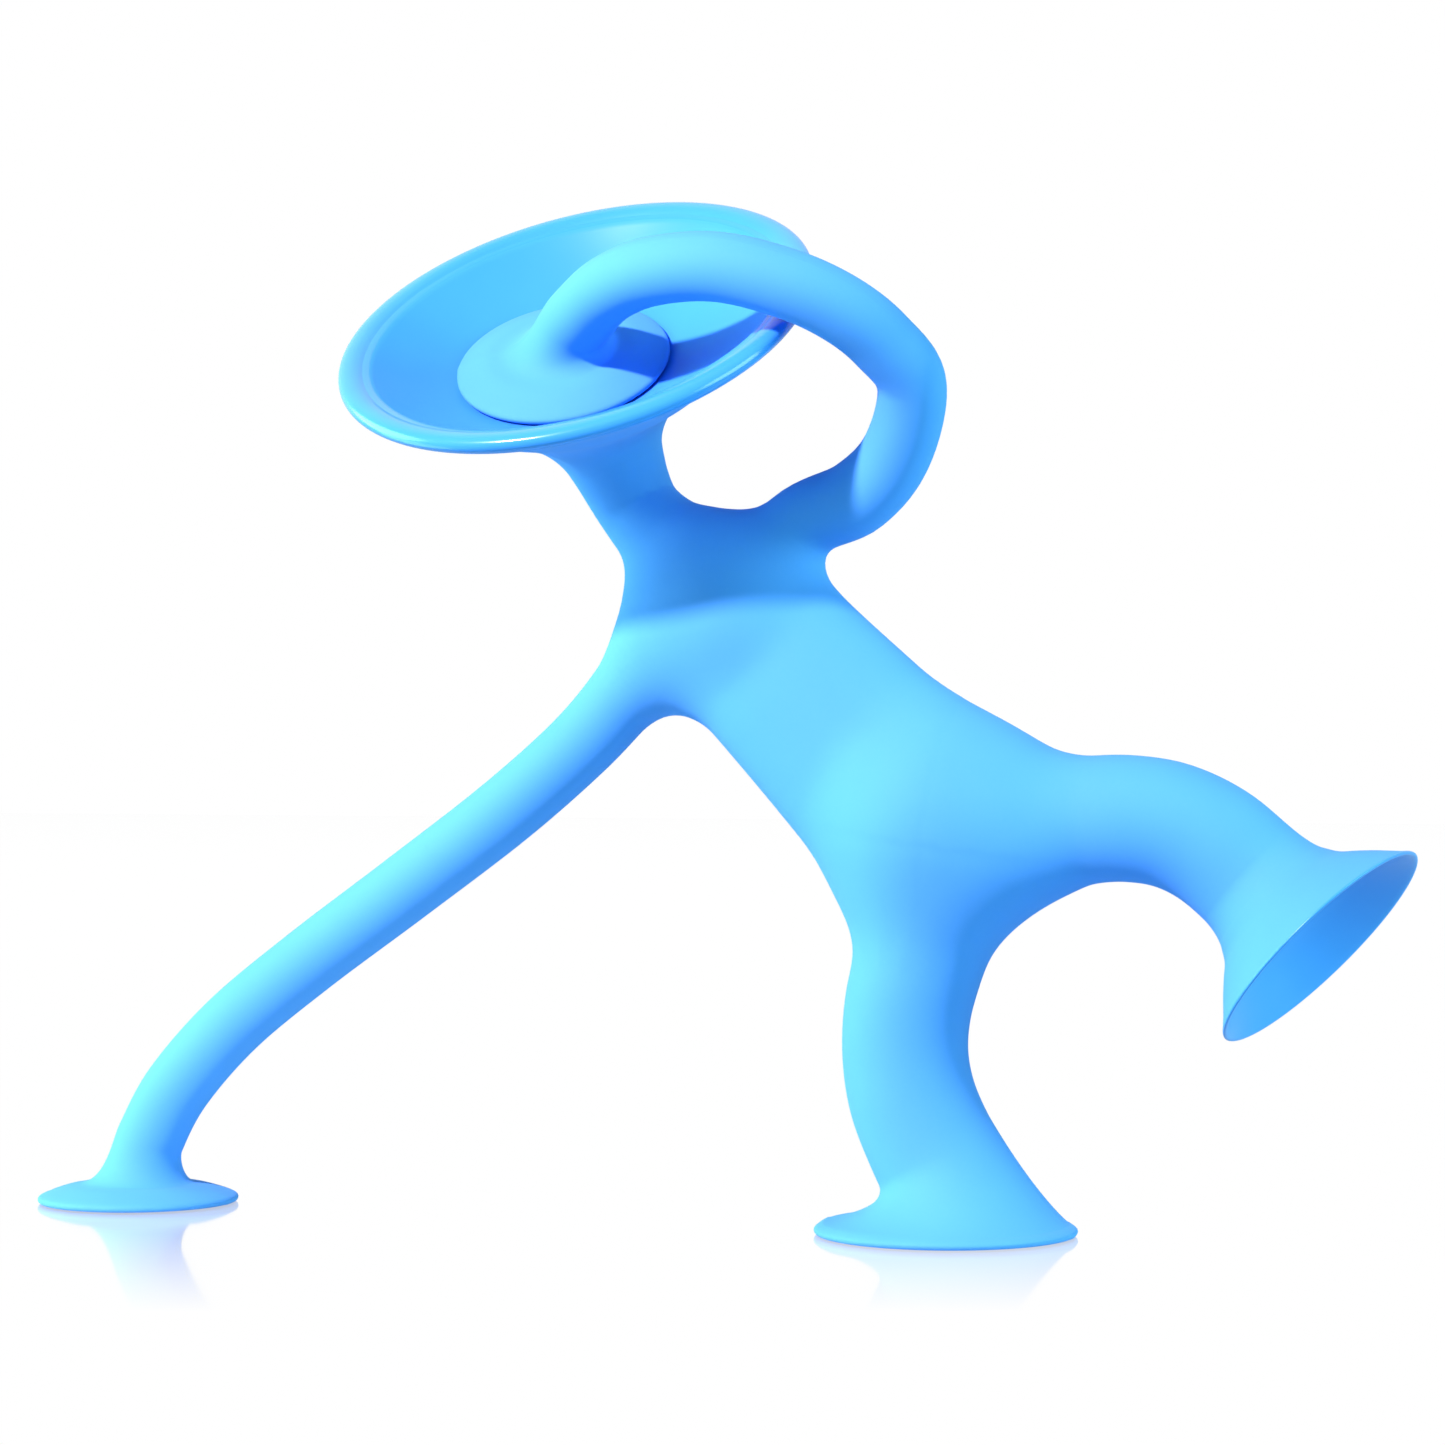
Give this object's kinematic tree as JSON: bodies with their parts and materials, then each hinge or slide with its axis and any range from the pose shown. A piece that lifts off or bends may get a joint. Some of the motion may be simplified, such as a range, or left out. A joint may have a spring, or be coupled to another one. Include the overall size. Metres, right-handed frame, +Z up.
{
  "type": "suction cup figure",
  "caption": "Flexible silicone figure with a suction cup for a head and on each hand and foot; its limbs, neck and waist bend and spring back.",
  "frame": {"origin": "middle of the standing foot cup's rim, on the floor", "axes": "+X along the floor from the planted hand to the standing foot, +Z up, -Y is the side the figure faces"},
  "size_m": [0.2658, 0.0764, 0.1925],
  "materials": {
    "silicone": "satin, slightly translucent, glossy inside the cups"
  },
  "bodies": {
    "chest": {"chest": "silicone"},
    "pelvis": {"waist": "silicone", "pelvis": "silicone"},
    "head": {"neck": "silicone", "head_cup": "silicone"},
    "raised_upper_arm": {"raised_shoulder": "silicone", "raised_upper_arm": "silicone"},
    "raised_forearm": {"raised_elbow": "silicone", "raised_forearm": "silicone"},
    "raised_hand": {"raised_wrist": "silicone", "raised_hand_cup": "silicone"},
    "planted_upper_arm": {"planted_shoulder": "silicone", "planted_upper_arm": "silicone"},
    "planted_forearm": {"planted_elbow": "silicone", "planted_forearm": "silicone"},
    "planted_hand": {"planted_wrist": "silicone", "planted_hand_cup": "silicone"},
    "standing_thigh": {"standing_hip": "silicone", "standing_thigh": "silicone"},
    "standing_shin": {"standing_knee": "silicone", "standing_shin": "silicone"},
    "standing_foot": {"standing_ankle": "silicone", "standing_foot_cup": "silicone"},
    "kicking_thigh": {"kicking_hip": "silicone", "kicking_thigh": "silicone"},
    "kicking_shin": {"kicking_knee": "silicone", "kicking_shin": "silicone"},
    "kicking_foot": {"kicking_ankle": "silicone", "kicking_foot_cup": "silicone"}
  },
  "joints": [
    {"name": "waist_bend", "type": "hinge", "parent": "chest", "child": "pelvis", "pos_m": [-0.02, 0, 0.0916], "axis": [0.7071, 0, 0.7071], "range_deg": [-20, 20], "stiffness_Nm_per_rad": 1.9, "deforming": ["waist"]},
    {"name": "neck_nod", "type": "hinge", "parent": "chest", "child": "head", "pos_m": [-0.05944, 0.00205, 0.13243], "axis": [0.9882, -0.1105, 0.1065], "range_deg": [-20, 20], "stiffness_Nm_per_rad": 0.25, "deforming": ["neck"]},
    {"name": "raised_shoulder_bend", "type": "hinge", "parent": "chest", "child": "raised_upper_arm", "pos_m": [-0.05944, 0.00205, 0.13243], "axis": [0.9882, -0.1105, 0.1065], "range_deg": [-20, 20], "stiffness_Nm_per_rad": 0.11, "deforming": ["raised_shoulder"]},
    {"name": "raised_elbow_bend", "type": "hinge", "parent": "raised_upper_arm", "child": "raised_forearm", "pos_m": [-0.00907, -0.02291, 0.16365], "axis": [0.1641, 0.7843, 0.5983], "range_deg": [0, 60], "stiffness_Nm_per_rad": 0.11, "deforming": ["raised_elbow"]},
    {"name": "raised_wrist_bend", "type": "hinge", "parent": "raised_forearm", "child": "raised_hand", "pos_m": [-0.05479, -0.02443, 0.172], "axis": [0.1641, 0.7843, 0.5983], "range_deg": [0, 30], "stiffness_Nm_per_rad": 0.11, "deforming": ["raised_wrist"]},
    {"name": "planted_shoulder_bend", "type": "hinge", "parent": "chest", "child": "planted_upper_arm", "pos_m": [-0.0663, 0, 0.09317], "axis": [0, 1, 0], "range_deg": [-40, 40], "stiffness_Nm_per_rad": 0.11, "deforming": ["planted_shoulder"]},
    {"name": "planted_elbow_bend", "type": "hinge", "parent": "planted_upper_arm", "child": "planted_forearm", "pos_m": [-0.10904, 0, 0.05934], "axis": [0, 1, 0], "range_deg": [-40, 40], "stiffness_Nm_per_rad": 0.11, "deforming": ["planted_elbow"]},
    {"name": "planted_wrist_bend", "type": "hinge", "parent": "planted_forearm", "child": "planted_hand", "pos_m": [-0.15213, 0, 0.02422], "axis": [0, 1, 0], "range_deg": [-30, 30], "stiffness_Nm_per_rad": 0.11, "deforming": ["planted_wrist"]},
    {"name": "standing_hip_bend", "type": "hinge", "parent": "pelvis", "child": "standing_thigh", "pos_m": [-0.00438, 0, 0.05198], "axis": [0, 1, 0], "range_deg": [-25, 25], "stiffness_Nm_per_rad": 0.5, "deforming": ["standing_hip"]},
    {"name": "standing_knee_bend", "type": "hinge", "parent": "standing_thigh", "child": "standing_shin", "pos_m": [-0.00763, 0, 0.03508], "axis": [0, 1, 0], "range_deg": [-20, 20], "stiffness_Nm_per_rad": 0.5, "deforming": ["standing_knee"]},
    {"name": "standing_ankle_bend", "type": "hinge", "parent": "standing_shin", "child": "standing_foot", "pos_m": [-0.00449, 0, 0.01998], "axis": [0, 1, 0], "range_deg": [-20, 20], "stiffness_Nm_per_rad": 0.5, "deforming": ["standing_ankle"]},
    {"name": "kicking_hip_bend", "type": "hinge", "parent": "pelvis", "child": "kicking_thigh", "pos_m": [0.02027, 0, 0.07478], "axis": [0, 1, 0], "range_deg": [-40, 25], "stiffness_Nm_per_rad": 0.5, "deforming": ["kicking_hip"]},
    {"name": "kicking_knee_bend", "type": "hinge", "parent": "kicking_thigh", "child": "kicking_shin", "pos_m": [0.03713, 0.00026, 0.07551], "axis": [0, 1, 0], "range_deg": [-30, 20], "stiffness_Nm_per_rad": 0.5, "deforming": ["kicking_knee"]},
    {"name": "kicking_ankle_bend", "type": "hinge", "parent": "kicking_shin", "child": "kicking_foot", "pos_m": [0.05123, 0.00185, 0.06934], "axis": [0, 1, 0], "range_deg": [-25, 20], "stiffness_Nm_per_rad": 0.5, "deforming": ["kicking_ankle"]}
  ],
  "couplings": [
    {"joint": "raised_shoulder_bend", "follows": "neck_nod", "ratio": 1},
    {"joint": "raised_wrist_bend", "follows": "raised_elbow_bend", "ratio": 0.5}
  ]
}
